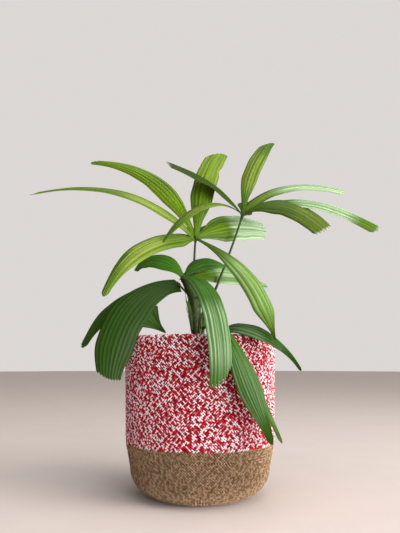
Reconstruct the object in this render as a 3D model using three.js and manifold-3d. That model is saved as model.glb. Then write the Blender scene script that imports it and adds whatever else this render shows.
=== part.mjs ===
// Potted lady palm in a two-tone braided basket. Millimetres, +Z up, origin in the middle of the basket's underside.
// +X points right and +Y away from the viewer. Headings turn from +X towards +Y, and rises are angles above the horizon.
import * as THREE from "three";
import { mergeVertices } from "three/addons/utils/BufferGeometryUtils.js";
import Module from "manifold-3d";

const wasm = await Module();
wasm.setup();

// Basket
const basketHeight = 207;
const rimRadius = 100;
const seamRadius = 97.5;
const baseRadius = 91.5;
const seamHeight = 70.5;
const cornerRadius = 36;
const wallThickness = 6;
const rimRounding = 2.5;
const roundSteps = 56;

// Soil
const soilHeight = 181;
const soilCrown = 3;
const clearance = 0.3;
const hubClearance = 0.8;

// Palm
const petioleBaseRadius = 1.9;
const petioleTipRadius = 1.4;
const hubRadius = 4.5;
const thinnestBlade = 1.8;
const bladeThicknessShare = 0.011;
const bladeBaseShare = 0.28;
const usualOpening = 0.42;
const usualTaper = 0.65;
const bladeSteps = 11;
const bladeColumns = 2;
const bladeSag = 0.1;
const usualPull = 0.4;
const usualTipShare = 0.5;

const colours = {
  cotton: "#c9475a",
  jute: "#96785a",
  soil: "#3a2a1e",
  cane: "#41502a",
  petiole: "#5f7f36",
  bright: "#6f9e35",
  dark: "#35632a",
};

// Canes: tapering stems in their fibrous sheaths. Each rises straight from the soil and then leans to its top.
const canes = {
  cane_main: { foot: [-5, 0], flare: 5.4, waist: 4.2, swell: 7.5, top: [-10, -3, 264] },
  cane_side: { foot: [-1, 11], flare: 3.8, waist: 2.9, swell: 3.6, top: [7, 4, 240] },
};

// Fronds: each is a fan of leaflets on one hub at the end of its petiole, which bows by its lean. A leaflet leaves
// the hub at its rise and ends at its fall, and its tip lies at its reach along its heading and its lift above the
// hub. Its swing turns the way it leaves, its curl the way it ends, and its roll lifts its left edge as seen from
// the hub. Its blade opens from the base share of its width until open, and narrows after taper to its tip share.
const fronds = {
  top_left: {
    colour: "bright",
    hub: [-6, -5, 344],
    root: [-7, 0.5, 265.3],
    lean: [-3, 0, 0],
    leaflets: [
      { name: "long", heading: -176, reach: 230, lift: 56, rise: 46, fall: -15, width: 23, roll: -45,
        twist: 15, base: 0.45, open: 0.25, taper: 0.3, tipShare: 0.28 },
      { name: "thick", heading: 162, reach: 170, lift: 129, rise: 66, fall: 8, width: 26, roll: -65,
        open: 0.35, taper: 0.35, tipShare: 0.34 },
      { name: "upright", heading: 40, reach: 51, lift: 141, rise: 80, fall: 52, width: 32, roll: 60,
        tipShare: 0.78 },
      { name: "front_left", heading: -147, reach: 133, lift: -90, rise: -5, fall: -66, width: 28, roll: -50,
        base: 0.3, open: 0.15, taper: 0.5, tipShare: 0.34 },
      { name: "short", heading: 33, reach: 126, lift: 30, rise: 30, fall: 0, width: 42, roll: 70,
        tipShare: 0.74 },
      { name: "falling", heading: -44, reach: 131, lift: -144, rise: -27, fall: -73, width: 28.5, roll: 25,
        open: 0.55, taper: 0.78, tipShare: 0.12 },
      { name: "back", heading: 74, reach: 158, lift: 37, rise: 34, fall: -16, width: 26, roll: 0 },
      { name: "back_left", heading: 136, reach: 130, lift: -10, rise: 25, fall: -34, width: 24, roll: -20 },
    ],
  },
  top_right: {
    colour: "bright",
    hub: [61, 20, 384],
    root: [7.5, 4, 241.2],
    lean: [4, -3, 0],
    leaflets: [
      { name: "up_left", heading: -150, reach: 121.5, lift: 52.7, rise: 46, fall: 8, width: 24, roll: -40,
        tipShare: 0.7 },
      { name: "upright", heading: 36, reach: 61, lift: 128, rise: 82, fall: 48, width: 23, roll: 55,
        tipShare: 0.6 },
      { name: "right", heading: 15, reach: 164, lift: 49, rise: 60, fall: -9, pull: 0.24, endPull: 0.5,
        width: 21, roll: 40, base: 0.5, open: 0.16, tipShare: 1.1 },
      { name: "lobe_long", heading: -14, reach: 184, lift: -34, rise: 24, fall: -34, width: 21, roll: 45,
        taper: 0.5, tipShare: 1.1 },
      { name: "lobe_short", heading: -23, reach: 116, lift: -35.5, rise: 30, fall: -50, width: 35, roll: 50,
        tipShare: 0.9 },
      { name: "thin", heading: -145, reach: 132, lift: -58, rise: 28, fall: -56, width: 16, roll: -30,
        tipShare: 0.35 },
      { name: "back", heading: 81, reach: 145, lift: 42, rise: 40, fall: -14, width: 24, roll: 0 },
    ],
  },
  middle: {
    colour: "dark",
    hub: [-21, -25, 284],
    root: [-10.5, -7, 265.5],
    lean: [0, -2, 0],
    leaflets: [
      { name: "left", heading: 153, reach: 79, lift: 17.5, rise: 60, fall: -58, width: 27, roll: -50,
        tipShare: 0.7 },
      { name: "arch", heading: 20, reach: 62, lift: 20, rise: 69, fall: -24, width: 23, roll: 52,
        tipShare: 0.2 },
      { name: "right", heading: 43, reach: 173, lift: 8, rise: 15, fall: -12, width: 29, roll: 60,
        tipShare: 0.25 },
      { name: "front", heading: -66, reach: 106, lift: -149, rise: 3, fall: -98, swing: -9, curl: 35,
        pull: 0.5, width: 30, roll: 0, base: 0.45, open: 0.16, tipShare: 0.85 },
      { name: "back", heading: 84, reach: 158, lift: 26, rise: 20, fall: -8, width: 22, roll: 0 },
    ],
  },
  low_left: {
    colour: "dark",
    hub: [-28, -32, 276],
    root: [-14.5, -6.8, 264.2],
    lean: [0, 0, 0],
    leaflets: [
      { name: "broad", heading: -145, reach: 97, lift: -127, rise: -8, fall: -90, width: 46, roll: -52,
        twist: -10, base: 0.5, open: 0.56, taper: 0.75, tipShare: 0.6 },
      { name: "left", heading: -170, reach: 122, lift: -84, rise: -7, fall: -66, width: 23, roll: -45,
        base: 0.2 },
      { name: "inner", heading: 139, reach: 23, lift: -63, rise: -16, fall: -34, swing: 50, curl: -169,
        pull: 0.98, width: 42, roll: 50, open: 0.85, taper: 0.7, tipShare: 0.1 },
      { name: "back", heading: 137, reach: 130, lift: -66, rise: -4, fall: -50, width: 24, roll: -20 },
    ],
  },
  low_right: {
    colour: "dark",
    hub: [27, -57, 214.5],
    root: [4.6, 3.2, 221],
    lean: [0, 0, 6],
    leaflets: [
      { name: "right", heading: -14, reach: 97, lift: -50.5, rise: 15.5, fall: -58, swing: -56, curl: 34,
        pull: 0.45, width: 28, roll: 18, twist: 42, base: 0.4, open: 0.2, taper: 0.28, tipShare: 0.15 },
      { name: "front", heading: -37, reach: 70, lift: -134.5, rise: 12, fall: -70, swing: -56, curl: 46,
        pull: 0.5, width: 33, roll: 15, twist: 32, base: 0.2, open: 0.85, tipShare: 0.25 },
      { name: "sliver", heading: -28, reach: 77, lift: -133.5, rise: 12, fall: -66, swing: -62, curl: 36,
        pull: 0.5, width: 9, roll: 15, twist: 30 },
    ],
  },
  low_back: {
    colour: "dark",
    hub: [18, 66, 213],
    root: [0.9, 14.6, 196],
    lean: [0, 0, 5],
    leaflets: [
      { name: "right", heading: 48, reach: 88, lift: -58, rise: 12, fall: -75, pull: 0.5, width: 26,
        roll: 0 },
      { name: "straight", heading: 84, reach: 70, lift: -104, rise: 12, fall: -92, pull: 0.5, width: 30,
        roll: 0 },
      { name: "left", heading: 126, reach: 88, lift: -80, rise: 16, fall: -80, pull: 0.5, width: 28,
        roll: 0 },
    ],
  },
};

const part = new THREE.Group();

function heading(degrees, rise = 0) {
  const turn = THREE.MathUtils.degToRad(degrees);
  const lift = THREE.MathUtils.degToRad(rise);
  return new THREE.Vector3(Math.cos(turn) * Math.cos(lift), Math.sin(turn) * Math.cos(lift), Math.sin(lift));
}

function addMesh(name, geometry, colour, roughness) {
  const material = new THREE.MeshStandardMaterial({ color: colour, roughness, metalness: 0 });
  const mesh = new THREE.Mesh(geometry, material);
  mesh.name = name;
  part.add(mesh);
}

// Turned solids of the basket and the soil
function turned(profile) {
  const geometry = new THREE.LatheGeometry(profile, roundSteps);
  return geometry.rotateX(Math.PI / 2);
}

function cornerArc(centreRadius, centreHeight, radius, steps) {
  const points = [];
  for (let i = 0; i <= steps; i += 1) {
    const angle = (i / steps - 1) * (Math.PI / 2);
    points.push(new THREE.Vector2(centreRadius + radius * Math.cos(angle), centreHeight + radius * Math.sin(angle)));
  }
  return points;
}

function addBasket() {
  const inner = baseRadius - wallThickness;
  const innerCorner = cornerRadius - wallThickness;
  const base = [
    new THREE.Vector2(0, 0),
    ...cornerArc(baseRadius - cornerRadius, cornerRadius, cornerRadius, 5),
    new THREE.Vector2(seamRadius, seamHeight),
    new THREE.Vector2(seamRadius - wallThickness, seamHeight),
    ...cornerArc(inner - innerCorner, cornerRadius, innerCorner, 4).reverse(),
    new THREE.Vector2(0, wallThickness),
  ];
  addMesh("basket_jute_base", turned(base), colours.jute, 0.95);
  const foot = seamHeight + clearance;
  const wall = [
    new THREE.Vector2(seamRadius - wallThickness, foot),
    new THREE.Vector2(seamRadius, foot),
    new THREE.Vector2(rimRadius, basketHeight - rimRounding),
    new THREE.Vector2(rimRadius - rimRounding, basketHeight),
    new THREE.Vector2(rimRadius - wallThickness + rimRounding, basketHeight),
    new THREE.Vector2(rimRadius - wallThickness, basketHeight - rimRounding),
    new THREE.Vector2(seamRadius - wallThickness, foot),
  ];
  addMesh("basket_cotton_wall", turned(wall), colours.cotton, 0.95);
}

function addSoil() {
  const gap = wallThickness + clearance;
  const corner = cornerRadius - gap;
  const soil = [
    new THREE.Vector2(0, gap),
    ...cornerArc(baseRadius - cornerRadius, cornerRadius, corner, 4),
    new THREE.Vector2(seamRadius - gap, seamHeight),
    new THREE.Vector2(seamRadius - gap, soilHeight - soilCrown),
    new THREE.Vector2(0, soilHeight),
  ];
  addMesh("soil", turned(soil), colours.soil, 1);
}

// Moves a straight geometry, whose length lies along Y from -0.5 to 0.5, onto a curve. The place of each vertex
// across the curve comes from offset(x, z, t), as a distance to the left and one upwards.
function bend(geometry, curve, turn, offset) {
  geometry.deleteAttribute("normal");
  geometry.deleteAttribute("uv");
  const solid = mergeVertices(geometry);
  const position = solid.getAttribute("position");
  const left = new THREE.Vector3(-Math.sin(turn), Math.cos(turn), 0);
  for (let i = 0; i < position.count; i += 1) {
    const t = position.getY(i) + 0.5;
    const along = curve.getTangent(t);
    const side = left.clone().addScaledVector(along, -left.dot(along)).normalize();
    const up = along.clone().cross(side);
    const [across, above] = offset(position.getX(i), position.getZ(i), t);
    const point = curve.getPoint(t).addScaledVector(side, across).addScaledVector(up, above);
    position.setXYZ(i, point.x, point.y, point.z);
  }
  return solid;
}

function limb(curve, radiusAt, sides, steps) {
  const straight = new THREE.CylinderGeometry(1, 1, 1, sides, steps);
  return bend(straight, curve, 0, (x, z, t) => [x * radiusAt(t), -z * radiusAt(t)]);
}

function addCanes() {
  for (const [name, cane] of Object.entries(canes)) {
    const foot = new THREE.Vector3(...cane.foot, soilHeight + clearance);
    const top = new THREE.Vector3(...cane.top);
    const middle = foot.clone().setZ((foot.z + top.z) / 2);
    const curve = new THREE.QuadraticBezierCurve3(foot, middle, top);
    const radiusAt = (t) => {
      if (t < 0.25) return THREE.MathUtils.lerp(cane.flare, cane.waist, t / 0.25);
      if (t < 0.85) return THREE.MathUtils.lerp(cane.waist, cane.swell, (t - 0.25) / 0.6);
      return THREE.MathUtils.lerp(cane.swell, cane.swell * 0.7, (t - 0.85) / 0.15);
    };
    addMesh(name, limb(curve, radiusAt, 10, 12), colours.cane, 0.8);
  }
}

function leafletCurve(hub, leaf) {
  const swing = leaf.swing ?? 0;
  const curl = leaf.curl ?? -swing;
  const tip = hub.clone().addScaledVector(heading(leaf.heading), leaf.reach);
  tip.z += leaf.lift;
  const span = hub.distanceTo(tip);
  const pull = leaf.pull ?? usualPull;
  const endPull = leaf.endPull ?? pull;
  const leaving = hub.clone().addScaledVector(heading(leaf.heading + swing, leaf.rise), span * pull);
  const ending = tip.clone().addScaledVector(heading(leaf.heading + curl, leaf.fall), -span * endPull);
  return new THREE.CubicBezierCurve3(hub, leaving, ending, tip);
}

function bladeShare(leaf, t) {
  const opened = THREE.MathUtils.smoothstep(t, 0, leaf.open ?? usualOpening);
  const tapered = THREE.MathUtils.smoothstep(t, leaf.taper ?? usualTaper, 1);
  const opening = THREE.MathUtils.lerp(leaf.base ?? bladeBaseShare, 1, opened);
  return opening * THREE.MathUtils.lerp(1, leaf.tipShare ?? usualTipShare, tapered);
}

function leafletSolid(hub, leaf) {
  const curve = leafletCurve(hub, leaf);
  const thickness = Math.max(thinnestBlade, curve.getLength() * bladeThicknessShare);
  const straight = new THREE.BoxGeometry(1, 1, 1, bladeColumns, bladeSteps, 1);
  const roll = THREE.MathUtils.degToRad(leaf.roll);
  const twist = THREE.MathUtils.degToRad(leaf.twist ?? 0);
  return bend(straight, curve, THREE.MathUtils.degToRad(leaf.heading), (x, z, t) => {
    const width = leaf.width * bladeShare(leaf, t);
    const across = -x * width;
    const above = z * thickness - 4 * x * x * bladeSag * width;
    const angle = roll + twist * t;
    return [
      across * Math.cos(angle) - above * Math.sin(angle),
      across * Math.sin(angle) + above * Math.cos(angle),
    ];
  });
}

function manifoldOf(geometry) {
  const merged = mergeVertices(geometry);
  return new wasm.Manifold(
    new wasm.Mesh({
      numProp: 3,
      vertProperties: new Float32Array(merged.getAttribute("position").array),
      triVerts: new Uint32Array(merged.index.array),
    }),
  );
}

function geometryOf(solid) {
  const mesh = solid.getMesh();
  return new THREE.BufferGeometry()
    .setAttribute("position", new THREE.BufferAttribute(mesh.vertProperties, 3))
    .setIndex(new THREE.BufferAttribute(mesh.triVerts, 1));
}

function hubSolid(hub) {
  const ball = new THREE.SphereGeometry(hubRadius, 10, 6);
  ball.deleteAttribute("normal");
  ball.deleteAttribute("uv");
  return ball.translate(hub.x, hub.y, hub.z);
}

function addPetiole(name, hub, frond) {
  const root = new THREE.Vector3(...frond.root);
  const toHub = hub.clone().sub(root).normalize();
  const top = hub.clone().addScaledVector(toHub, -(hubRadius + hubClearance));
  const middle = root.clone().lerp(top, 0.5).add(new THREE.Vector3(...frond.lean));
  const curve = new THREE.QuadraticBezierCurve3(root, middle, top);
  const radiusAt = (t) => THREE.MathUtils.lerp(petioleBaseRadius, petioleTipRadius, t);
  addMesh(`petiole_${name}`, limb(curve, radiusAt, 8, 10), colours.petiole, 0.55);
}

function addFronds() {
  for (const [name, frond] of Object.entries(fronds)) {
    const hub = new THREE.Vector3(...frond.hub);
    let fan = manifoldOf(hubSolid(hub));
    for (const leaf of frond.leaflets) {
      fan = fan.add(manifoldOf(leafletSolid(hub, leaf)));
    }
    addMesh(`frond_${name}`, geometryOf(fan), colours[frond.colour], 0.45);
    addPetiole(name, hub, frond);
  }
}

addBasket();
addSoil();
addCanes();
addFronds();

export default part;
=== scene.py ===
import math
import random

import bmesh
import bpy
from mathutils import Matrix, Vector, noise


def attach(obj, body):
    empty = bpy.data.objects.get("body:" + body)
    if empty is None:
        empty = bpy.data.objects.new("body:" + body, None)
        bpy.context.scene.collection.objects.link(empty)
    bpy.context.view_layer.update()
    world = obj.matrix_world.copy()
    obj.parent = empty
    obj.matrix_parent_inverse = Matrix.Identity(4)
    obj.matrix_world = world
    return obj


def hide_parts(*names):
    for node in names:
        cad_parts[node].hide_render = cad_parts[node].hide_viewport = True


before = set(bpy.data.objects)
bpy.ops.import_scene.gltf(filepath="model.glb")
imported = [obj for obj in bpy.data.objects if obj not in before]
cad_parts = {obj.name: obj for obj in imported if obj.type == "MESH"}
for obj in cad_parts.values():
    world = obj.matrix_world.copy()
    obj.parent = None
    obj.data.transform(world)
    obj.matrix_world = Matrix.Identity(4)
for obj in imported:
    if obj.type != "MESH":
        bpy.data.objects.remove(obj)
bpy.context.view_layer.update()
mm = 0.001  # shapes are made in millimetres and scaled once, when the piece is placed
sharpAngle = 50
weldDistance = 0.001
yAxis = Vector((0, 1, 0))


def colour(code):  # "#rrggbb" as a linear colour
    parts = [int(code[i : i + 2], 16) / 255 for i in (1, 3, 5)]
    return (*[p / 12.92 if p <= 0.04045 else ((p + 0.055) / 1.055) ** 2.4 for p in parts], 1)


def blendColours(first, second, share):
    return tuple(a + (b - a) * share for a, b in zip(first, second))


def lerp(start, end, share):
    return start + (end - start) * share


def smoothstep(value, low, high):
    share = min(max((value - low) / (high - low), 0), 1)
    return share * share * (3 - 2 * share)


# Camera, light and floor
camera = {
    "place": (0.0, -0.680, 0.175),
    "lookUp": 4.3,
    "lens": 33.77,
    "shift": 0.108,
    "near": 0.01,
    "far": 50,
}
lamps = {
    "key": dict(kind="SUN", place=(1.65, -1.25, 0.85), soft=math.radians(75), power=2.4, tint="#fffaf6"),
    "side": dict(kind="AREA", place=(1.9, -0.85, 0.18), soft=1.0, power=66, tint="#fffbf9"),
    "fill": dict(kind="AREA", place=(-1.5, -1.6, 0.9), soft=1.6, power=1, tint="#f3f6ff"),
    "low": dict(kind="AREA", place=(1.1, -2.0, 0.15), soft=0.9, power=27, tint="#ffffff"),
    "top": dict(kind="AREA", place=(0.2, -0.2, 1.9), soft=1.4, power=14, tint="#ffffff"),
}
lampAim = Vector((0, 0, 0.2))
backdrop = {"tint": "#e9e4e2", "light": 0.28, "seen": 0.88}
floorLook = {
    "radius": 9.0,
    "sides": 96,
    "low": "#e6dad3",
    "high": "#ece1da",
    "grain": 14.0,
    "roughness": 0.9,
}


def addCamera():
    data = bpy.data.cameras.new("camera")
    data.lens = camera["lens"]
    data.shift_y = camera["shift"]
    data.clip_start = camera["near"]
    data.clip_end = camera["far"]
    eye = bpy.data.objects.new("camera", data)
    eye.location = camera["place"]
    eye.rotation_euler = (math.radians(90 + camera["lookUp"]), 0, 0)
    bpy.context.collection.objects.link(eye)
    bpy.context.scene.camera = eye


def addLamps():
    for name, lamp in lamps.items():
        data = bpy.data.lights.new(name, lamp["kind"])
        setattr(data, "angle" if lamp["kind"] == "SUN" else "size", lamp["soft"])
        data.energy = lamp["power"]
        data.color = colour(lamp["tint"])[:3]
        light = bpy.data.objects.new(name, data)
        light.location = lamp["place"]
        aim = lampAim - Vector(lamp["place"])
        light.rotation_euler = aim.to_track_quat("-Z", "Y").to_euler()
        bpy.context.collection.objects.link(light)


def addBackdrop():
    world = bpy.data.worlds.new("studio")
    world.use_nodes = True
    tree = world.node_tree
    background = tree.nodes["Background"]
    background.inputs["Color"].default_value = colour(backdrop["tint"])
    seen = tree.nodes.new("ShaderNodeLightPath")
    strength = tree.nodes.new("ShaderNodeMapRange")
    strength.inputs["To Min"].default_value = backdrop["light"]
    strength.inputs["To Max"].default_value = backdrop["seen"]
    tree.links.new(seen.outputs["Is Camera Ray"], strength.inputs["Value"])
    tree.links.new(strength.outputs["Result"], background.inputs["Strength"])
    bpy.context.scene.world = world
    bpy.context.scene.view_settings.view_transform = "Standard"


# Shader maths as expressions
class Value:
    def __init__(self, finish, socket):
        self.finish = finish
        self.socket = socket

    def __add__(self, other):
        return self.finish.maths("ADD", self, other)

    def __radd__(self, other):
        return self.finish.maths("ADD", other, self)

    def __sub__(self, other):
        return self.finish.maths("SUBTRACT", self, other)

    def __rsub__(self, other):
        return self.finish.maths("SUBTRACT", other, self)

    def __mul__(self, other):
        return self.finish.maths("MULTIPLY", self, other)

    def __rmul__(self, other):
        return self.finish.maths("MULTIPLY", other, self)

    def __pow__(self, other):
        return self.finish.maths("POWER", self, other)


class Finish:
    def __init__(self, name, roughness=0.5, gloss=0.2):
        self.material = bpy.data.materials.new(name)
        self.material.use_nodes = True
        self.tree = self.material.node_tree
        self.shader = self.tree.nodes["Principled BSDF"]
        self.set("Roughness", roughness)
        self.set("Specular IOR Level", gloss)

    def feed(self, socket, value):
        if isinstance(value, Value):
            self.tree.links.new(value.socket, socket)
        else:
            socket.default_value = value

    def set(self, name, value):
        self.feed(self.shader.inputs[name], value)

    def node(self, kind, settings, sockets, result=0):
        made = self.tree.nodes.new(kind)
        for key, value in settings.items():
            setattr(made, key, value)
        for key, value in sockets.items():
            self.feed(made.inputs[key], value)
        return Value(self, made.outputs[result])

    def maths(self, operation, first, second=0.0):
        return self.node("ShaderNodeMath", {"operation": operation}, {0: first, 1: second})

    def mix(self, share, first, second):
        sockets = {0: share, 6: first, 7: second}
        return self.node("ShaderNodeMix", {"data_type": "RGBA", "clamp_factor": True}, sockets, 2)

    def scaled(self, tone, amount):
        return self.node("ShaderNodeVectorMath", {"operation": "SCALE"}, {0: tone, "Scale": amount})

    def varied(self, tone, grain, amount):  # lighter and darker with the grain, the same on average
        return self.scaled(tone, grain * amount + (1 - amount / 2))

    def attribute(self, name, result="Fac"):
        return self.node("ShaderNodeAttribute", {"attribute_name": name}, {}, result)

    def place(self):
        return self.node("ShaderNodeTexCoord", {}, {}, "Object")

    def stretched(self, where, scale):
        return self.node("ShaderNodeMapping", {}, {"Vector": where, "Scale": scale})

    def joined(self, x, y, z):
        return self.node("ShaderNodeCombineXYZ", {}, {0: x, 1: y, 2: z})

    def noise(self, where, scale, detail=2.0, rough=0.5):
        sockets = {"Vector": where, "Scale": scale, "Detail": detail, "Roughness": rough}
        return self.node("ShaderNodeTexNoise", {}, sockets, "Fac")

    def ramp(self, value, low, high, start=0.0, end=1.0):
        sockets = {"Value": value, 1: low, 2: high, 3: start, 4: end}
        return self.node("ShaderNodeMapRange", {"interpolation_type": "SMOOTHSTEP"}, sockets)

    def bump(self, height, strength, distance):
        sockets = {"Height": height, "Strength": strength, "Distance": distance}
        self.set("Normal", self.node("ShaderNodeBump", {}, sockets))


def addFloor():
    finish = Finish("floorPaper", floorLook["roughness"])
    grain = finish.noise(finish.place(), floorLook["grain"], 3.0)
    finish.set("Base Color", finish.mix(grain, colour(floorLook["low"]), colour(floorLook["high"])))
    bm = bmesh.new()
    bmesh.ops.create_circle(bm, cap_ends=True, segments=floorLook["sides"], radius=floorLook["radius"])
    mesh = bpy.data.meshes.new("floor")
    bm.to_mesh(mesh)
    bm.free()
    mesh.materials.append(finish.material)
    floor = bpy.data.objects.new("floor", mesh)
    bpy.context.collection.objects.link(floor)


plainLook = {"grain": 400.0, "relief": (0.4, 0.0003)}


def plainFinish(name, low, high, roughness):
    finish = Finish(name, roughness)
    grain = finish.noise(finish.place(), plainLook["grain"], 3.0)
    finish.set("Base Color", finish.mix(grain, colour(low), colour(high)))
    finish.bump(grain, *plainLook["relief"])
    return finish.material


def addPiece(name, bm, finishes, replaced=()):
    bmesh.ops.scale(bm, vec=(mm, mm, mm), verts=bm.verts)
    mesh = bpy.data.meshes.new(name)
    bm.to_mesh(mesh)
    bm.free()
    for finish in finishes:
        mesh.materials.append(finish)
    mesh.shade_smooth()
    mesh.set_sharp_from_angle(angle=math.radians(sharpAngle))
    piece = bpy.data.objects.new(name, mesh)
    bpy.context.collection.objects.link(piece)
    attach(piece, "root")
    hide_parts(*replaced)
    mesh.calc_loop_triangles()
    print(f"{name}: {len(mesh.loop_triangles)} triangles")


addCamera()
addLamps()
addBackdrop()
addFloor()
print("camera, lamps and floor are set")


# Shapes that several pieces use. Curves have the knots that the solids have.
def heading(degrees, rise=0):
    turn = math.radians(degrees)
    lift = math.radians(rise)
    return Vector((math.cos(turn) * math.cos(lift), math.sin(turn) * math.cos(lift), math.sin(lift)))


def onCurve(knots, t):  # point and direction at t
    points = knots
    while len(points) > 2:
        points = [a.lerp(b, t) for a, b in zip(points, points[1:])]
    return points[0].lerp(points[1], t), (points[1] - points[0]).normalized()


def offCurve(knots, t, left, across, above):
    point, along = onCurve(knots, t)
    side = (left - along * left.dot(along)).normalized()
    return point + side * across + along.cross(side) * above


def roundCurve(knots, t, turn, radius):  # a point beside the curve, turned round it
    return offCurve(knots, t, yAxis, math.cos(turn) * radius, math.sin(turn) * radius)


def pathLength(path):
    return sum((end - start).length for start, end in zip(path, path[1:]))


def addTube(bm, knots, radiusAt, sides, steps):
    ring = bmesh.ops.create_circle(bm, cap_ends=False, segments=sides, radius=1)["verts"]
    bmesh.ops.translate(bm, verts=ring, vec=(0, 0, -0.5))
    edges = list({edge for vert in ring for edge in vert.link_edges})
    verts = list(ring)
    ends = [edges]
    for _ in range(steps):
        made = bmesh.ops.extrude_edge_only(bm, edges=edges)["geom"]
        ring = [item for item in made if isinstance(item, bmesh.types.BMVert)]
        bmesh.ops.translate(bm, verts=ring, vec=(0, 0, 1 / steps))
        fresh = set(ring)
        edges = list({edge for vert in ring for edge in vert.link_edges if set(edge.verts) <= fresh})
        verts += ring
    for edges in ends + [edges]:
        bmesh.ops.contextual_create(bm, geom=edges)
    for vert in verts:
        t = min(max(vert.co.z + 0.5, 0), 1)
        turn = math.atan2(vert.co.y, vert.co.x)
        vert.co = roundCurve(knots, t, turn, radiusAt(t, turn))


def spinProfile(bm, profile, edges, steps):
    bmesh.ops.spin(bm, geom=profile + edges, cent=(0, 0, 0), axis=(0, 0, 1), dvec=(0, 0, 0),
                   angle=2 * math.pi, steps=steps, use_merge=True, use_duplicate=False)
    bmesh.ops.remove_doubles(bm, verts=bm.verts, dist=weldDistance)


# Leaf colours
bladeTones = {
    "fresh": colour("#54740e"),
    "meadow": colour("#496c0e"),
    "olive": colour("#44610c"),
    "sage": colour("#5e7c1d"),
    "deep": colour("#335d12"),
    "bottle": colour("#27450d"),
    # sheen, gleam and glint are pale colours for painted sheen: painted highlights along the blades
    "sheen": colour("#b0d0a4"),
    "gleam": colour("#b2c254"),
    "glint": colour("#a4d078"),
    "spring": colour("#6a8c18"),
    "straw": colour("#a59a80"),
    "ash": colour("#dcdcd6"),
    "under": colour("#627a49"),
}
bladeLook = {
    # ridge and its tone paint a highlight on the pleat crests, and valley paints shade in the pleat
    # creases
    "leafBright": dict(roughness=0.45, valley=0.42, ridge=0.08, ridgeHighlightTone="#98b048", veins=0.4, patch=0.3),
    "leafDark": dict(roughness=0.42, valley=0.6, ridge=0.08, ridgeHighlightTone="#6f9040", veins=0.44, patch=0.34),
}
bladeGrain = {  # how fast each pattern changes across the blade, along it and from leaflet to leaflet
    "veins": (4.0, 0.35, 5.3),
    "patch": (0.7, 5.0, 3.1),
    "uneven": (3.7, 0.6, 5.1),
    "veinsFrom": (0.3, 0.7),
    "valleyFade": (0.35, 0.65, 0.1, 1.0),
    "valleyPower": 12.0,
    "valleyShade": 0.3,
    "ridgePower": 9.0,
    "gloss": 0.12,
    "roughening": 0.2,
    "heights": (0.4, 0.3, 0.6),  # of the veins and ridges, and the depth of the valleys
    "relief": (0.3, 0.0004),
}


def bladeFinish(name):
    look = bladeLook[name]
    finish = Finish(name, gloss=bladeGrain["gloss"])
    rib = finish.attribute("rib")
    along = finish.attribute("along")
    seed = finish.attribute("seed")
    wave = finish.maths("COSINE", rib * (2 * math.pi))
    nearest = finish.maths("ROUND", rib)

    def pattern(key):
        across, length, leaflet = bladeGrain[key]
        return finish.noise(finish.joined(rib * across, along * length, seed * leaflet), 1.0)

    veins = finish.ramp(pattern("veins"), *bladeGrain["veinsFrom"])
    patch = pattern("patch")
    across, length, leaflet = bladeGrain["uneven"]
    uneven = finish.noise(finish.joined(nearest * across, seed * leaflet, along * length), 1.0, 0.0)
    fade = finish.ramp(uneven, *bladeGrain["valleyFade"])
    valley = (wave * 0.5 + 0.5) ** bladeGrain["valleyPower"] * fade
    ridge = (0.5 - wave * 0.5) ** bladeGrain["ridgePower"]
    tone = finish.attribute("tint", "Color")
    tone = finish.varied(tone, veins, look["veins"])
    tone = finish.varied(tone, patch, look["patch"])
    # painted highlight on the pleat crests, then painted shade in the pleat creases
    tone = finish.mix(ridge * look["ridge"], tone, colour(look["ridgeHighlightTone"]))
    tone = finish.mix(valley * look["valley"], tone, finish.scaled(tone, bladeGrain["valleyShade"]))
    finish.set("Base Color", tone)
    roughening = bladeGrain["roughening"]
    finish.set("Roughness", veins * roughening + (look["roughness"] - roughening / 2))
    veinHeight, ridgeHeight, valleyDepth = bladeGrain["heights"]
    height = veins * veinHeight + ridge * ridgeHeight - valley * valleyDepth
    finish.bump(height, *bladeGrain["relief"])
    return finish.material


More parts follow.
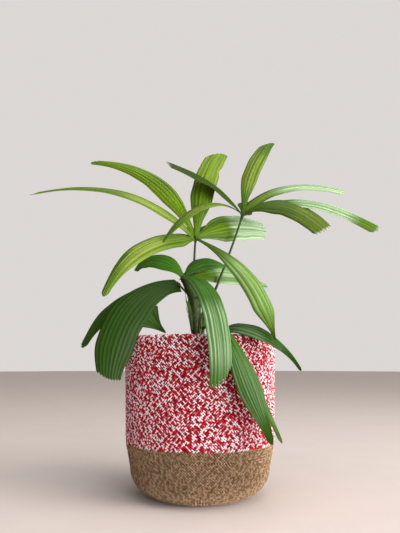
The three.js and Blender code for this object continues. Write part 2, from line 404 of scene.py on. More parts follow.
# Fronds. Each is a fan of leaflets on one hub, and its petiole runs from root to hub, bowed by its lean.
# heading, reach and lift place a leaflet's tip, and rise and fall are its slopes at the hub and the tip.
usualLeaflet = {
    "swing": 0,  # degrees that its start is turned from the heading, as curl is for its end
    "pull": 0.4,  # share of the span that it starts straight for, and endPull is the one for its end
    "roll": 0,
    "twist": 0,  # roll that is added up to the tip
    "base": 0.2,  # share of its width at the hub
    "open": 0.42,  # where it has its full width
    "taper": 0.65,  # where it begins to narrow
    "tipShare": 0.5,
    "bright": 1,
    # light names the colour of its painted sheen
    "light": "gleam",
    "paintedSheen": (0, 1, 0),  # from where to where it has its painted sheen, and how much of it
    "shadedFlank": 0,  # 1 darkens one side of the outer half with painted shade, for a flank folded into shade
    "teeth": 0,
    "blunt": 0.03,
    "slant": 0,
    "nicks": (),  # torn places: where, on which side, how deep and how long
    "dry": 1.01,  # from here on it is dry
}
fronds = {
    "top_left": {
        "finish": "leafBright",
        "slot": "leaf_bright",
        "hub": (-6, -5, 344),
        "root": (-7, 0.5, 265.3),
        "lean": (-3, 0, 0),
        "leaflets": {
            "long": dict(heading=-176, reach=225, lift=56, rise=46, fall=-15, width=23, roll=-45,
                         twist=15, base=0.45, open=0.25, taper=0.3, tipShare=0.34, ribs=4, tone="sage",
                         bright=0.92, paintedSheen=(0.0, 0.5, 0.4), dry=0.955),
            "thick": dict(heading=162, reach=170, lift=129, rise=66, fall=8, width=26, roll=-65,
                          open=0.35, taper=0.35, tipShare=0.34, ribs=5, tone="spring", bright=0.92,
                          teeth=0.012, slant=0.05, dry=0.97),
            "upright": dict(heading=40, reach=51, lift=141, rise=80, fall=52, width=32, roll=60,
                            tipShare=0.78, ribs=6, tone="fresh", bright=0.9, paintedSheen=(0.55, 1.0, 0.2),
                            teeth=0.01, slant=-0.13, nicks=((0.76, 1, 0.2, 0.06),)),
            "front_left": dict(heading=-147, reach=133, lift=-90, rise=-5, fall=-66, width=28, roll=-50,
                               base=0.3, open=0.15, taper=0.5, tipShare=0.34, ribs=5, tone="sage",
                               bright=0.84, paintedSheen=(0.25, 0.8, 0.4), shadedFlank=1),
            "short": dict(heading=33, reach=126, lift=30, rise=30, fall=0, width=42, roll=70,
                          tipShare=0.74, ribs=7, tone="fresh", bright=0.9, light="sheen",
                          paintedSheen=(0.5, 1.15, 2.0), blunt=0.04),
            "falling": dict(heading=-44, reach=131, lift=-144, rise=-27, fall=-73, width=28.5, roll=25,
                            open=0.55, taper=0.78, tipShare=0.12, ribs=5, tone="fresh", bright=0.6,
                            light="glint", paintedSheen=(0.3, 0.9, 0.65)),
            "back": dict(heading=74, reach=158, lift=37, rise=34, fall=-16, width=26, ribs=5,
                         tone="meadow", teeth=0.012),
            "back_left": dict(heading=136, reach=130, lift=-10, rise=25, fall=-34, width=24, roll=-20,
                              ribs=5, tone="meadow", teeth=0.012),
        },
    },
    "top_right": {
        "finish": "leafBright",
        "slot": "leaf_bright",
        "hub": (61, 20, 384),
        "root": (7.5, 4, 241.2),
        "lean": (4, -3, 0),
        "leaflets": {
            "up_left": dict(heading=-150, reach=121.5, lift=52.7, rise=46, fall=8, width=31, roll=-40,
                            base=0.4, open=0.25, tipShare=0.7, ribs=5, tone="olive", bright=0.4,
                            teeth=0.012, dry=0.975),
            "upright": dict(heading=36, reach=61, lift=128, rise=82, fall=48, width=23, roll=55,
                            tipShare=0.6, ribs=5, tone="meadow", bright=0.72, paintedSheen=(0.2, 0.8, 0.3),
                            teeth=0.01, slant=-0.13),
            "right": dict(heading=15, reach=164, lift=49, rise=60, fall=-9, pull=0.24, endPull=0.5,
                          width=21, roll=40, base=0.5, open=0.16, tipShare=1.1, ribs=4, tone="sage",
                          bright=0.92, light="sheen", paintedSheen=(0.45, 1.5, 1.2)),
            "lobe_long": dict(heading=-14, reach=184, lift=-34, rise=24, fall=-34, width=21, roll=45,
                              taper=0.5, tipShare=1.1, ribs=5, tone="meadow", light="sheen",
                              paintedSheen=(0.35, 0.85, 0.9), teeth=0.02, dry=0.975),
            "lobe_short": dict(heading=-23, reach=116, lift=-35.5, rise=30, fall=-50, width=35, roll=50,
                               tipShare=0.9, ribs=6, tone="fresh", bright=0.6, paintedSheen=(0.6, 1.0, 0.2),
                               teeth=0.04, dry=0.965),
            "thin": dict(heading=-145, reach=132, lift=-58, rise=28, fall=-56, width=16, roll=-30,
                         tipShare=0.35, ribs=3, tone="olive", paintedSheen=(0.1, 0.8, 0.25)),
            "back": dict(heading=81, reach=145, lift=42, rise=40, fall=-14, width=24, ribs=5,
                         tone="meadow", teeth=0.012),
        },
    },
    "middle": {
        "finish": "leafDark",
        "slot": "leaf_dark",
        "hub": (-21, -25, 284),
        "root": (-10.5, -7, 265.5),
        "lean": (0, -2, 0),
        "base": 7.0,
        "tip": 4.6,
        "knob": 5.0,
        "leaflets": {
            "left": dict(heading=153, reach=79, lift=17.5, rise=60, fall=-58, width=27, roll=-50,
                         tipShare=0.7, ribs=5, tone="deep", bright=1.7, teeth=0.02),
            "arch": dict(heading=20, reach=62, lift=20, rise=69, fall=-24, width=23, roll=52,
                         tipShare=0.2, ribs=4, tone="deep"),
            "right": dict(heading=43, reach=173, lift=8, rise=15, fall=-12, width=29, roll=60,
                          tipShare=0.25, ribs=5, tone="olive", bright=1.15, light="sheen",
                          paintedSheen=(0.3, 1.0, 0.5)),
            "front": dict(heading=-66, reach=106, lift=-149, rise=3, fall=-98, swing=-9, curl=35,
                          pull=0.5, width=30, base=0.45, open=0.16, tipShare=0.85, ribs=7, tone="deep",
                          bright=0.84, light="sheen", paintedSheen=(0.5, 0.9, 0.35), teeth=0.04, slant=-0.1),
            "back": dict(heading=84, reach=158, lift=26, rise=20, fall=-8, width=22, ribs=5, tone="deep",
                         teeth=0.012),
        },
    },
    "low_left": {
        "finish": "leafDark",
        "slot": "leaf_dark",
        "hub": (-28, -32, 276),
        "root": (-14.5, -6.8, 264.2),
        "lean": (0, 0, 0),
        "base": 1.6,
        "tip": 1.3,
        "knob": 2.2,
        "leaflets": {
            "broad": dict(heading=-145, reach=97, lift=-127, rise=-8, fall=-90, width=46, roll=-52,
                          twist=-10, base=0.5, open=0.56, taper=0.75, tipShare=0.6, ribs=9, tone="bottle",
                          bright=0.85, teeth=0.014, blunt=0.02, slant=0.05),
            "left": dict(heading=-170, reach=122, lift=-84, rise=-7, fall=-66, width=23, roll=-45, ribs=5,
                         tone="bottle", bright=1.3, teeth=0.02),
            "inner": dict(heading=139, reach=23, lift=-63, rise=-16, fall=-34, swing=50, curl=-169,
                          pull=0.98, width=42, roll=50, open=0.85, taper=0.7, tipShare=0.1, ribs=5,
                          tone="deep", bright=1.2),
            "back": dict(heading=137, reach=130, lift=-66, rise=-4, fall=-50, width=24, roll=-20, ribs=5,
                         tone="bottle", teeth=0.012),
        },
    },
    "low_right": {
        "finish": "leafDark",
        "slot": "leaf_dark",
        "hub": (27, -57, 214.5),
        "root": (4.6, 3.2, 221),
        "lean": (0, 0, 6),
        "leaflets": {
            "right": dict(heading=-14, reach=97, lift=-50.5, rise=15.5, fall=-58, swing=-56, curl=34,
                          pull=0.45, width=28, roll=18, twist=42, base=0.4, open=0.2, taper=0.28,
                          tipShare=0.15, ribs=5, tone="deep", bright=0.6, light="sheen",
                          paintedSheen=(0.1, 0.6, 0.15)),
            "front": dict(heading=-37, reach=70, lift=-134.5, rise=12, fall=-70, swing=-56, curl=46,
                          pull=0.5, width=33, roll=15, twist=32, open=0.85, tipShare=0.25, ribs=9,
                          tone="deep", bright=0.8, light="sheen", paintedSheen=(0.3, 0.9, 0.08)),
            "sliver": dict(heading=-28, reach=77, lift=-133.5, rise=12, fall=-66, swing=-62, curl=36,
                           pull=0.5, width=9, roll=15, twist=30, ribs=2, tone="deep"),
        },
    },
    "low_back": {
        "finish": "leafDark",
        "slot": "leaf_dark",
        "hub": (18, 66, 213),
        "root": (0.9, 14.6, 196),
        "lean": (0, 0, 5),
        "leaflets": {
            "right": dict(heading=48, reach=88, lift=-58, rise=12, fall=-75, pull=0.5, width=26, ribs=5,
                          tone="deep", teeth=0.012),
            "straight": dict(heading=84, reach=70, lift=-104, rise=12, fall=-92, pull=0.5, width=30,
                             ribs=6, tone="deep", teeth=0.012),
            "left": dict(heading=126, reach=88, lift=-80, rise=16, fall=-80, pull=0.5, width=28, ribs=6,
                         tone="deep", teeth=0.012),
        },
    },
}
bladeRule = {
    "sag": 0.1,
    "thickness": 0.55,
    "pleat": 0.26,
    "pleatStart": 0.2,  # pleats rise from the hub to their full height here
    "ripple": 0.8,
    "ripples": (2, 5, 1.9),  # across, along, from leaflet to leaflet
    "wobble": 0.05,
    "wobbles": (4, 9, 2.3),
    "toothSize": (0.6, 0.8),  # the least, and how much it varies
    "toothChange": 1.7,
    "rowLength": 3.6,
    "columnsPerRib": 4,
    "lengthSteps": 20,
    "underside": 0.3,
}
tintRule = {
    "bands": (14, 1.2, 7.7),  # across, along, from leaflet to leaflet
    # dark stripes along the blade are painted shade of its pleats
    "dark": 0.7,
    "stripeShadeFrom": (0.05, 0.4),
    # this key and the two after it set the painted sheen along the blade
    "light": 0.35,
    "paintedSheenFrom": (-0.1, 0.3),
    "paintedSheenEdge": (0.25, 0.6),  # where the stretch of painted sheen fades, as shares of its length from its middle
    # painted shade on one side of the outer half, and where along the blade it sets in
    "shadedFlankSide": 0.24,
    "shadedFlankFrom": (0.5, 0.66),
    "hubShade": 0.5,
    "hubLength": 0.1,
    "dryLength": 0.03,
}


def leafletKnots(hub, leaf):
    swing = leaf["swing"]
    curl = leaf.get("curl", -swing)
    tip = hub + heading(leaf["heading"]) * leaf["reach"] + Vector((0, 0, leaf["lift"]))
    span = (tip - hub).length
    leaving = hub + heading(leaf["heading"] + swing, leaf["rise"]) * span * leaf["pull"]
    ending = tip - heading(leaf["heading"] + curl, leaf["fall"]) * span * leaf.get("endPull", leaf["pull"])
    return [hub, leaving, ending, tip]


def bladeShare(leaf, t):  # width at t, as a share of the full width
    opening = lerp(leaf["base"], 1, smoothstep(t, 0, leaf["open"]))
    return opening * lerp(1, leaf["tipShare"], smoothstep(t, leaf["taper"], 1))


def bladeEnd(leaf, x, seed):  # how far a column of the blade runs, as a share of its length
    phase = (x + 0.5) * leaf["ribs"]
    tooth = 0.5 + 0.5 * math.cos(2 * math.pi * phase)
    least, more = bladeRule["toothSize"]
    uneven = least + more * noise.noise(Vector((round(phase) * bladeRule["toothChange"], seed, 3)))
    blunt = leaf["blunt"] * 4 * x * x
    slant = leaf["slant"]
    return 1 - blunt - leaf["teeth"] * tooth * uneven - abs(slant) / 2 - slant * x


def bladeTint(leaf, x, t, seed):
    across, along, leaflet = tintRule["bands"]
    band = noise.noise(Vector((x * across, t * along, seed * leaflet)))
    # dark stripes of painted shade along the blade, where the pleats turn from the light
    dark = tintRule["dark"] * smoothstep(-band, *tintRule["stripeShadeFrom"])
    tone = blendColours(bladeTones[leaf["tone"]], bladeTones["bottle"], dark)
    # pale streaks of painted sheen, a painted highlight over the stretch the leaflet names
    low, high, amount = leaf["paintedSheen"]
    inside, outside = ((high - low) * share for share in tintRule["paintedSheenEdge"])
    stretch = 1 - smoothstep(abs(t - (low + high) / 2), inside, outside)
    streak = smoothstep(band, *tintRule["paintedSheenFrom"])
    light = min(amount * stretch * (tintRule["light"] + streak), 1)
    tone = blendColours(tone, bladeTones[leaf["light"]], light)
    # painted shade on the flank that is folded into shade
    if leaf["shadedFlank"] * x > tintRule["shadedFlankSide"]:
        tone = blendColours(tone, bladeTones["deep"], smoothstep(t, *tintRule["shadedFlankFrom"]))
    hubShade = tintRule["hubShade"] * smoothstep(tintRule["hubLength"] - t, 0, tintRule["hubLength"])
    tone = blendColours(tone, bladeTones["bottle"], hubShade)
    tone = (*[channel * leaf["bright"] for channel in tone[:3]], 1)
    dried = bladeTones["ash" if streak > 0.5 else "straw"]
    return blendColours(tone, dried, smoothstep(t, leaf["dry"], leaf["dry"] + tintRule["dryLength"]))


def bladeWidth(leaf, x, t, seed):
    across, along, leaflet = bladeRule["wobbles"]
    wobble = noise.noise(Vector((t * along, seed * leaflet, math.copysign(across, x))))
    width = leaf["width"] * bladeShare(leaf, t) * (1 + bladeRule["wobble"] * wobble)
    for place, side, depth, length in leaf["nicks"]:
        bite = max(0, 1 - abs(t - place) / length) if x * side > 0 else 0
        width *= 1 - depth * bite * abs(2 * x)
    return width


def bladeHeight(leaf, x, t, seed, width):  # pleats, ripples at the edges and the sag from the middle
    pleat = -bladeRule["pleat"] * math.cos(2 * math.pi * (x + 0.5) * leaf["ribs"])
    pleat *= smoothstep(t, 0, bladeRule["pleatStart"])
    across, along, leaflet = bladeRule["ripples"]
    ripple = noise.noise(Vector((t * along, seed * leaflet, x * across))) * abs(2 * x)
    return pleat + bladeRule["ripple"] * ripple - 4 * x * x * bladeRule["sag"] * width


def addLeaflet(bm, layers, hub, leaf, seed):
    knots = leafletKnots(hub, leaf)
    left = heading(leaf["heading"] + 90)
    steps = bladeRule["lengthSteps"]
    length = pathLength([onCurve(knots, i / steps)[0] for i in range(steps + 1)])
    columns = leaf["ribs"] * bladeRule["columnsPerRib"]
    rows = round(length / bladeRule["rowLength"])
    made = bmesh.ops.create_grid(bm, x_segments=columns, y_segments=rows, size=0.5)
    for vert in made["verts"]:
        x = vert.co.x
        t = (vert.co.y + 0.5) * bladeEnd(leaf, x, seed)
        width = bladeWidth(leaf, x, t, seed)
        across = -x * width
        above = bladeHeight(leaf, x, t, seed, width)
        angle = math.radians(leaf["roll"] + leaf["twist"] * t)
        turned = across * math.cos(angle) - above * math.sin(angle)
        raised = across * math.sin(angle) + above * math.cos(angle)
        vert.co = offCurve(knots, t, left, turned, raised)
        vert[layers["rib"]] = (x + 0.5) * leaf["ribs"]
        vert[layers["along"]] = t * length / 100
        vert[layers["seed"]] = seed
        vert[layers["tint"]] = bladeTint(leaf, x, t, seed)


def addFrond(name, frond, finishes):
    bm = bmesh.new()
    layers = {key: bm.verts.layers.float.new(key) for key in ("rib", "along", "seed")}
    layers["tint"] = bm.verts.layers.float_color.new("tint")
    hub = Vector(frond["hub"])
    for i, leaf in enumerate(frond["leaflets"].values()):
        addLeaflet(bm, layers, hub, {**usualLeaflet, **leaf}, i + len(name))
    shell = bmesh.ops.solidify(bm, geom=list(bm.faces), thickness=bladeRule["thickness"])
    for vert in shell["geom"]:
        if isinstance(vert, bmesh.types.BMVert):
            tint = vert[layers["tint"]]
            vert[layers["tint"]] = blendColours(tint, bladeTones["under"], bladeRule["underside"])
    bmesh.ops.recalc_face_normals(bm, faces=bm.faces)
    addPiece(f"leaflets_{name}", bm, [finishes[frond["finish"]]], [f"frond_{name}"])


# Petioles, each with a knob where its leaflets meet
petioleRule = {
    "base": 1.9,
    "tip": 1.4,
    "knob": 3.0,
    "gap": 1.5,
    "ridges": 3,
    "ridge": 0.06,
    "swellAtTip": (0.93, 0.9),  # where it starts, and by how much
    "swellAtRoot": (0.06, 0.8),  # where it ends, and by how much
    "sides": 12,
    "steps": 26,
    "knobSides": 12,
    "knobRings": 8,
    "knobRoughness": 0.2,
}
petioleLook = {
    "roughness": 0.4,
    "dark": "#1f2c12",
    "green": "#3d5421",
    "spots": "#5d5030",
    "grain": (900, 900, 40),
    "mottle": 160.0,
    "spotsFrom": (0.6, 0.8),
    "relief": (0.3, 0.0004),
}


def petioleFinish():
    finish = Finish("petioleGreen", petioleLook["roughness"])
    where = finish.place()
    streaks = finish.noise(finish.stretched(where, petioleLook["grain"]), 1.0)
    spots = finish.ramp(finish.noise(where, petioleLook["mottle"], 3.0), *petioleLook["spotsFrom"])
    tone = finish.mix(streaks, colour(petioleLook["dark"]), colour(petioleLook["green"]))
    finish.set("Base Color", finish.mix(spots, tone, colour(petioleLook["spots"])))
    finish.bump(streaks, *petioleLook["relief"])
    return finish.material


def addPetiole(name, frond, finish):
    hub = Vector(frond["hub"])
    root = Vector(frond["root"])
    top = hub - (hub - root).normalized() * petioleRule["gap"]
    knots = [root, root.lerp(top, 0.5) + Vector(frond["lean"]), top]
    base, tip, knobRadius = (frond.get(key, petioleRule[key]) for key in ("base", "tip", "knob"))
    tipStart, tipSwell = petioleRule["swellAtTip"]
    rootEnd, rootSwell = petioleRule["swellAtRoot"]

    def radiusAt(t, turn):
        swell = tipSwell * smoothstep(t, tipStart, 1) + rootSwell * (1 - smoothstep(t, 0, rootEnd))
        ridge = petioleRule["ridge"] * math.cos(petioleRule["ridges"] * turn)
        return (lerp(base, tip, t) + swell) * (1 + ridge)

    bm = bmesh.new()
    addTube(bm, knots, radiusAt, petioleRule["sides"], petioleRule["steps"])
    sides, rings = petioleRule["knobSides"], petioleRule["knobRings"]
    knob = bmesh.ops.create_uvsphere(bm, u_segments=sides, v_segments=rings, radius=knobRadius)
    for vert in knob["verts"]:
        vert.co = hub + vert.co * (1 + petioleRule["knobRoughness"] * noise.noise(vert.co))
    bmesh.ops.recalc_face_normals(bm, faces=bm.faces)
    addPiece(f"stalk_{name}", bm, [finish], [f"petiole_{name}"])


bladeFinishes = {name: bladeFinish(name) for name in bladeLook}
petioleGreen = petioleFinish()
for frondName, frond in fronds.items():
    addFrond(frondName, frond, bladeFinishes)
    addPetiole(frondName, frond, petioleGreen)
print("fronds are made")


# Canes in their sheaths
canes = {
    "main": dict(foot=(-5, 0), top=(-9, -4, 267), flare=5.4, waist=4.6, swell=9.2, sheaths=22, fibres=70),
    "side": dict(foot=(-1, 11), top=(8, 5, 248), flare=3.8, waist=3.2, swell=4.8, sheaths=7, fibres=28),
}
caneRule = {
    "footHeight": 181.3,
    "waistAt": 0.25,
    "swellAt": 0.85,
    "topShare": 0.4,
    "ridges": 7,
    "ridge": 0.05,
    "ridgeTwist": 4,
    "sides": 22,
    "steps": 40,
}
sheathRule = {
    "start": (0.0, 0.55),
    "length": (0.35, 0.6),
    "highest": 1.05,
    "spread": (0.3, 0.8),
    "narrowing": (0.45, 0.9),  # where it starts, and by how much
    "flare": (0.5, 2.2),
    "lean": 0.3,
    "seat": (1.03, 0.35),  # times the cane's radius, and added to it
    "columns": 6,
    "rows": 16,
    "thickness": 0.35,
}
fibreRule = {
    "start": (0, 0.85),
    "length": (0.08, 0.25),
    "lean": 1.2,
    "seat": (1.05, 0.3),
    "stray": 0.8,
    "radius": 0.16,
    "sides": 3,
    "steps": 6,
}
caneLook = {
    "roughness": 0.6,
    "dark": "#10170a",
    "green": "#3f5a22",
    "dry": "#2b2213",
    "grain": (1100, 1100, 50),
    "greenFrom": (0.4, 0.62),
    "patches": 60.0,
    "dryFrom": (0.58, 0.7),
    "relief": (0.6, 0.0008),
}


def caneKnots(cane):
    foot = Vector((*cane["foot"], caneRule["footHeight"]))
    top = Vector(cane["top"])
    return [foot, Vector((foot.x, foot.y, (foot.z + top.z) / 2)), top]


def caneRadius(cane, t):  # from the flared foot to the waist, the swollen crown and its rounded top
    waistAt = caneRule["waistAt"]
    swellAt = caneRule["swellAt"]
    if t < waistAt:
        return lerp(cane["flare"], cane["waist"], t / waistAt)
    if t < swellAt:
        return lerp(cane["waist"], cane["swell"], (t - waistAt) / (swellAt - waistAt))
    topShare = lerp(1, caneRule["topShare"], ((t - swellAt) / (1 - swellAt)) ** 2)
    return cane["swell"] * topShare


def caneFinish():
    finish = Finish("caneSheath", caneLook["roughness"])
    where = finish.place()
    strands = finish.noise(finish.stretched(where, caneLook["grain"]), 1.0, 3.0)
    green = finish.ramp(strands, *caneLook["greenFrom"])
    dry = finish.ramp(finish.noise(where, caneLook["patches"], 3.0), *caneLook["dryFrom"])
    tone = finish.mix(green, colour(caneLook["dark"]), colour(caneLook["green"]))
    finish.set("Base Color", finish.mix(dry, tone, colour(caneLook["dry"])))
    finish.bump(strands, *caneLook["relief"])
    return finish.material


def addSheath(bm, cane, knots, finish, chance):  # a strip of old leaf sheath, pointed at the top
    start = chance.uniform(*sheathRule["start"])
    end = min(start + chance.uniform(*sheathRule["length"]), sheathRule["highest"])
    middle = chance.uniform(0, 2 * math.pi)
    spread = chance.uniform(*sheathRule["spread"])
    narrowFrom, narrowing = sheathRule["narrowing"]
    flareFrom, flare = sheathRule["flare"]
    times, added = sheathRule["seat"]
    columns, rows = sheathRule["columns"], sheathRule["rows"]
    strip = bmesh.ops.create_grid(bm, x_segments=columns, y_segments=rows, size=0.5)
    for vert in strip["verts"]:
        share = vert.co.y + 0.5
        t = lerp(start, end, share)
        breadth = spread * (1 - smoothstep(share, narrowFrom, 1) * narrowing)
        turn = middle + vert.co.x * breadth + sheathRule["lean"] * share
        radius = caneRadius(cane, min(t, caneRule["swellAt"])) * times + added
        vert.co = roundCurve(knots, t, turn, radius + flare * smoothstep(share, flareFrom, 1))
    faces = list({face for vert in strip["verts"] for face in vert.link_faces})
    for face in faces:
        face.material_index = finish
    bmesh.ops.solidify(bm, geom=faces, thickness=sheathRule["thickness"])


def addFibre(bm, cane, knots, finish, chance):  # a loose fibre that leans round the cane
    start = chance.uniform(*fibreRule["start"])
    end = start + chance.uniform(*fibreRule["length"])
    turn = chance.uniform(0, 2 * math.pi)
    lean = chance.uniform(-fibreRule["lean"], fibreRule["lean"])
    times, added = fibreRule["seat"]
    points = []
    for share in (0, 0.5, 1):
        t = min(lerp(start, end, share), 1)
        radius = caneRadius(cane, t) * times + added + chance.uniform(0, fibreRule["stray"])
        points.append(roundCurve(knots, t, turn + lean * share, radius))
    before = len(bm.faces)
    addTube(bm, points, lambda t, turn: fibreRule["radius"], fibreRule["sides"], fibreRule["steps"])
    bm.faces.ensure_lookup_table()
    for face in bm.faces[before:]:
        face.material_index = finish


def addCane(name, cane, finishes, chance):
    knots = caneKnots(cane)

    def radiusAt(t, turn):
        ridge = math.cos(caneRule["ridges"] * turn + caneRule["ridgeTwist"] * t)
        return caneRadius(cane, t) * (1 + caneRule["ridge"] * ridge)

    bm = bmesh.new()
    addTube(bm, knots, radiusAt, caneRule["sides"], caneRule["steps"])
    _, *sheaths, fibre = range(len(finishes))
    for i in range(cane["sheaths"]):
        addSheath(bm, cane, knots, sheaths[i % len(sheaths)], chance)
    for _ in range(cane["fibres"]):
        addFibre(bm, cane, knots, fibre, chance)
    bmesh.ops.recalc_face_normals(bm, faces=bm.faces)
    addPiece(f"cane_{name}_sheathed", bm, finishes, [f"cane_{name}"])


caneFinishes = [
    caneFinish(),
    plainFinish("sheathGreen", "#6a9c3c", "#93bd60", 0.45),
    plainFinish("sheathBrown", "#20180f", "#352819", 0.7),
    plainFinish("sheathOlive", "#416c28", "#5f8c38", 0.5),
    plainFinish("sheathFibre", "#5b4a31", "#a8946a", 0.8),
]
for caneName, cane in canes.items():
    addCane(caneName, cane, caneFinishes, random.Random(len(caneName) + 40))
print("canes are made")


# Soil: a crumbly crowned surface inside the basket
soilRule = {
    "centre": 181,
    "edge": 178,
    "radius": 92.4,
    "depth": 30,
    "footInset": 1,
    "rings": 30,
    "around": 110,
    "mounds": (1.5, 0.11),  # height, and how closely they follow each other
    "lumps": (0.9, 0.35),
    "calmerAtEdge": 0.5,
}
crumbRule = {
    "count": 1100,
    "reach": 0.985,
    "sizes": (0.8, 1.0, 1.3, 2.0),
    "stretch": ((0.7, 1.5), (0.7, 1.3), (0.5, 0.9)),
    "roughness": 0.4,
}
soilTones = {
    "soilPeat": ("#1d140d", "#3f2d20"),
    "soilCrumb": ("#2a1d13", "#54402e"),
    "soilBark": ("#3d2a1c", "#6f5640"),
}
soilLook = {
    "roughness": 0.95,
    "coarse": (220.0, 4.0, 0.7),
    "fine": (900.0, 2.0),
    "coarseShare": 0.7,
    "paintedSheenFrom": (0.3, 0.7),
    "relief": (0.9, 0.0016),
}


def soilFinish(name):
    low, high = soilTones[name]
    finish = Finish(name, soilLook["roughness"])
    where = finish.place()
    coarse = finish.noise(where, *soilLook["coarse"])
    fine = finish.noise(where, *soilLook["fine"])
    light = finish.ramp(coarse, *soilLook["paintedSheenFrom"])
    finish.set("Base Color", finish.mix(light, colour(low), colour(high)))
    share = soilLook["coarseShare"]
    finish.bump(coarse * share + fine * (1 - share), *soilLook["relief"])
    return finish.material


def soilHeight(point):
    share = min(point.to_2d().length / soilRule["radius"], 1)
    reliefs = (soilRule["mounds"], soilRule["lumps"])
    relief = sum(height * noise.noise(point * often) for height, often in reliefs)
    crown = lerp(soilRule["centre"], soilRule["edge"], share * share)
    return crown + relief * (1 - soilRule["calmerAtEdge"] * share)


def addCrumb(bm, finish, chance):
    radius = soilRule["radius"] * crumbRule["reach"] * math.sqrt(chance.random())
    turn = chance.uniform(0, 2 * math.pi)
    place = Vector((radius * math.cos(turn), radius * math.sin(turn), 0))
    place.z = soilHeight(place)
    crumb = bmesh.ops.create_icosphere(bm, subdivisions=1, radius=chance.choice(crumbRule["sizes"]))
    stretch = Vector([chance.uniform(*limits) for limits in crumbRule["stretch"]])
    for vert in crumb["verts"]:
        rough = 1 + crumbRule["roughness"] * noise.noise(vert.co * 2 + place)
        vert.co = place + vert.co * rough * stretch
    for face in {face for vert in crumb["verts"] for face in vert.link_faces}:
        face.material_index = finish


def addSoil():
    bm = bmesh.new()
    radius = soilRule["radius"]
    rings = soilRule["rings"]
    profile = [bm.verts.new((radius * i / rings, 0, 0)) for i in range(rings + 1)]
    profile += [bm.verts.new((x, 0, -soilRule["depth"])) for x in (radius - soilRule["footInset"], 0)]
    edges = [bm.edges.new(pair) for pair in zip(profile, profile[1:])]
    spinProfile(bm, profile, edges, soilRule["around"])
    for vert in bm.verts:
        if vert.co.z > -1:
            vert.co.z = soilHeight(vert.co)
        else:
            vert.co.z += soilRule["edge"]
    chance = random.Random(5)
    for i in range(crumbRule["count"]):
        addCrumb(bm, 1 + i % 2, chance)
    bmesh.ops.recalc_face_normals(bm, faces=bm.faces)
    addPiece("soil_surface", bm, [soilFinish(name) for name in soilTones], ["soil"])


addSoil()
print("soil is made")


# Basket: a turned core with a cover of braid strands, half a braid to a row
basketShape = {
    "height": 207,
    "rimRadius": 100,
    "seamRadius": 97.5,
    "baseRadius": 91.5,
    "seamHeight": 70.5,
    "corner": 36,
    "cornerSteps": 16,
    "wall": 6,
    "rimRounding": 2.9,
    "rimSteps": 8,
    "rimDrop": 1,
    "leanToSoil": 0.4,
    "soilEdge": 176,
    "underside": 1.9,
    "middleRadius": 6,
}
strand = {
    "length": 4.6,
    "height": 2.2,
    "sides": 4,
    "blunt": 0.25,
    "row": 1.72,
    "spacing": 3.43,
    "slant": 45,
    "sink": 1.0,
    "coil": 6,  # rows from one groove to the next
    "groove": 0.4,
    "grooveSharpness": 8,
    "countStep": 12,
    "change": 0.31,  # how firmly dark and light strands take turns
}
strandVerts = strand["sides"] * (strand["sides"] - 1) + 2
yarnLook = {
    "roughness": 0.85,
    "fuzz": 1800.0,
    "patches": 130.0,
    "shade": 0.5,
    "shadeFrom": (0.5, 0.8),
    "relief": (0.5, 0.0004),
}
looseness = {"turn": 7, "size": (0.88, 1.14), "out": 0.12, "up": 0.16}
coreRule = {"depth": 1.5, "wall": 1.6, "steps": 40, "around": 96, "smallest": 0.2}
braids = {  # each yarn's share of the strands, and its colours: darker, lighter and the painted shade between the fibres
    "cotton": {
        "node": "basket_cotton_wall",
        "width": 1.5,
        "yarns": {
            "red": (0.36, "#b40a1c", "#d0152b", "#7a0612"),
            "white": (0.36, "#e6dfe5", "#f6f2f6", "#b9aab4"),
            # wine is a deeper red: partly a yarn tone of its own, partly painted shade, a darker copy of
            # the red dealt among the strands
            "wine": (0.17, "#8c0a18", "#a80f22", "#5a0610"),
            "rose": (0.11, "#b5576a", "#d68a98", "#8e3448"),
        },
        # the core's colours are painted shade, dark as the gaps between the strands
        "core": ("#2a0a10", "#4a161e"),
    },
    "jute": {
        "node": "basket_jute_base",
        "width": 1.25,
        "yarns": {
            "brown": (0.3, "#70563c", "#8a6d50", "#463321"),
            "tan": (0.45, "#a1866a", "#bfa585", "#664c35"),
            "umber": (0.25, "#866b50", "#9e8364", "#523c29"),
        },
        "core": ("#21150c", "#382515"),
    },
}


def cornerArc(centre, height, radius, start, end, steps):
    turns = [math.radians(lerp(start, end, i / steps)) for i in range(steps + 1)]
    return [Vector((centre + radius * math.cos(turn), height + radius * math.sin(turn))) for turn in turns]


def cottonPath():  # from inside the rim, over it and down the outside to the seam
    inner = basketShape["rimRadius"] - basketShape["wall"]
    turn = basketShape["rimRounding"]
    top = basketShape["height"] - turn
    middle = basketShape["rimRadius"] - turn
    return [
        Vector((inner - basketShape["leanToSoil"], basketShape["soilEdge"])),
        Vector((inner, top - basketShape["rimDrop"])),
        *cornerArc(middle, top, turn, 180, 0, basketShape["rimSteps"]),
        Vector((basketShape["seamRadius"], basketShape["seamHeight"])),
    ]


def jutePath():  # from the seam down, round the corner and in to the middle of the underside
    corner = basketShape["corner"]
    foot = basketShape["underside"]
    middle = basketShape["baseRadius"] - corner
    return [
        Vector((basketShape["seamRadius"], basketShape["seamHeight"])),
        *cornerArc(middle, corner + foot, corner, 0, -90, basketShape["cornerSteps"]),
        Vector((basketShape["middleRadius"], foot)),
    ]


def alongPath(path, distance):  # place and direction in the radius-height plane
    for start, end in zip(path, path[1:]):
        step = (end - start).length
        if distance <= step or end is path[-1]:
            direction = (end - start).normalized()
            return start + direction * distance, direction
        distance -= step


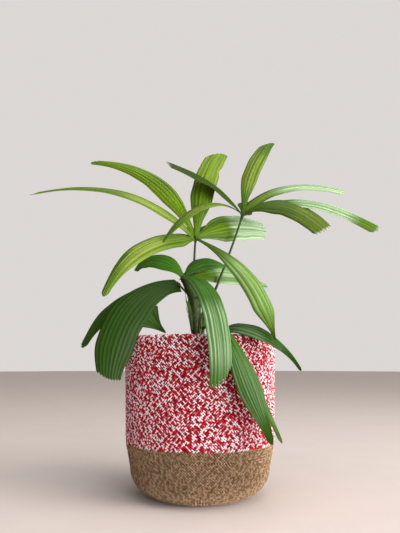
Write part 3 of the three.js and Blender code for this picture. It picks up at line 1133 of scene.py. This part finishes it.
def strandRow(place, direction, index, width):
    step = strand["countStep"]
    sides = strand["sides"]
    count = max(1, round(2 * math.pi * place.x / strand["spacing"] / step)) * step
    bm = bmesh.new()
    made = bmesh.ops.create_uvsphere(bm, u_segments=sides, v_segments=sides, radius=1)["verts"]
    down = Vector((direction.x, 0, direction.y))
    out = down.cross(yAxis)
    groove = strand["groove"] * math.cos(math.pi * index / strand["coil"]) ** strand["grooveSharpness"]
    base = Vector((place.x, 0, place.y)) - out * groove
    turn = Matrix.Rotation(index % 2 * math.pi / count, 3, "Z")
    angle = math.radians(strand["slant"] * (1 - index % 2 * 2))
    for vert in made:
        thick, flat, long = vert.co
        blunt = 1 + strand["blunt"] * long * long
        thick = thick * blunt * strand["height"] / 2 - strand["sink"] * long * long
        flat *= blunt * width / 2
        long *= strand["length"] / 2
        sideways = flat * math.cos(angle) - long * math.sin(angle)
        downwards = flat * math.sin(angle) + long * math.cos(angle)
        vert.co = turn @ (base + yAxis * sideways + down * downwards + out * thick)
    bmesh.ops.recalc_face_normals(bm, faces=bm.faces)
    everything = list(bm.verts) + list(bm.edges) + list(bm.faces)
    bmesh.ops.spin(bm, geom=everything, cent=(0, 0, 0), axis=(0, 0, 1), dvec=(0, 0, 0),
                   angle=2 * math.pi * (count - 1) / count, steps=count - 1, use_duplicate=True)
    return bm


def loosenStrands(bm, chance):  # each strand is a little off its place, as hand braiding leaves it
    bm.verts.ensure_lookup_table()
    for first in range(0, len(bm.verts), strandVerts):
        verts = bm.verts[first : first + strandVerts]
        middle = sum((vert.co for vert in verts), Vector()) / strandVerts
        out = middle.to_2d().to_3d().normalized()
        turn = Matrix.Rotation(math.radians(chance.gauss(0, looseness["turn"])), 3, out)
        turn = turn * chance.uniform(*looseness["size"])
        shift = middle + out * chance.gauss(0, looseness["out"])
        shift += Vector((0, 0, chance.gauss(0, looseness["up"])))
        for vert in verts:
            vert.co = shift + turn @ (vert.co - middle)


def dealStrands(bm, shares, above, parts, chance):  # even yarns are dark and odd ones light
    dealt = []
    for i in range(len(bm.verts) // strandVerts):
        near = dealt[-1:] + [above[(i + step) % len(above)] for step in (0, 1)]
        drawn = chance.choices(range(len(shares)), shares)[0]
        while chance.random() < strand["change"] * sum(yarn % 2 == drawn % 2 for yarn in near):
            drawn = chance.choices(range(len(shares)), shares)[0]
        dealt.append(drawn)
    for index, part in enumerate(parts):
        row = bm.copy()
        gone = [vert for i, vert in enumerate(row.verts) if dealt[i // strandVerts] != index]
        bmesh.ops.delete(row, geom=gone, context="VERTS")
        mesh = bpy.data.meshes.new("row")
        row.to_mesh(mesh)
        row.free()
        part.from_mesh(mesh)
        bpy.data.meshes.remove(mesh)
    bm.free()
    return dealt


def strandCover(path, shares, width, chance):
    parts = [bmesh.new() for _ in shares]
    total = pathLength(path)
    rows = round(total / strand["row"])
    dealt = [0]
    for i in range(rows):
        place, direction = alongPath(path, (i + 0.5) * total / rows)
        bm = strandRow(place, direction, i, width)
        loosenStrands(bm, chance)
        dealt = dealStrands(bm, shares, dealt, parts, chance)
    return parts


def yarnFinish(name, low, high, dark):
    finish = Finish(name, yarnLook["roughness"])
    where = finish.place()
    fuzz = finish.noise(where, yarnLook["fuzz"])
    # painted shade between the fibres of the yarn
    shade = finish.ramp(fuzz, *yarnLook["shadeFrom"]) * yarnLook["shade"]
    base = finish.mix(finish.noise(where, yarnLook["patches"]), colour(low), colour(high))
    finish.set("Base Color", finish.mix(shade, base, colour(dark)))
    finish.bump(fuzz, *yarnLook["relief"])
    return finish.material


def addCore(name, path, finish, node):
    steps = coreRule["steps"]
    total = pathLength(path)
    places = [alongPath(path, total * i / steps) for i in range(steps + 1)]
    inward = [(place, Vector((direction.y, -direction.x))) for place, direction in places]
    depth = coreRule["depth"]
    section = [place + away * depth for place, away in inward]
    depth += coreRule["wall"]
    section += [place + away * depth for place, away in reversed(inward)]
    bm = bmesh.new()
    profile = [bm.verts.new((max(point.x, coreRule["smallest"]), 0, point.y)) for point in section]
    edges = [bm.edges.new(pair) for pair in zip(profile, profile[1:] + profile[:1])]
    spinProfile(bm, profile, edges, coreRule["around"])
    bmesh.ops.recalc_face_normals(bm, faces=bm.faces)
    addPiece(name, bm, [finish], [node])


def addBraid(kind, path, chance):
    braid = braids[kind]
    slot = f"{kind}_braid"
    shares = [yarn[0] for yarn in braid["yarns"].values()]
    parts = strandCover(path, shares, braid["width"], chance)
    for part, (yarnName, (_, *tones)) in zip(parts, braid["yarns"].items()):
        finish = yarnFinish(kind + yarnName.capitalize(), *tones)
        addPiece(f"{slot}_{yarnName}", part, [finish])
    # the core is coloured dark: painted shade in the gaps between the strands
    shade = plainFinish(f"{kind}Shade", *braid["core"], 0.95)
    addCore(f"{kind}_core", path, shade, braid["node"])


basketChance = random.Random(21)
addBraid("cotton", cottonPath(), basketChance)
addBraid("jute", jutePath(), basketChance)
print("basket is made")
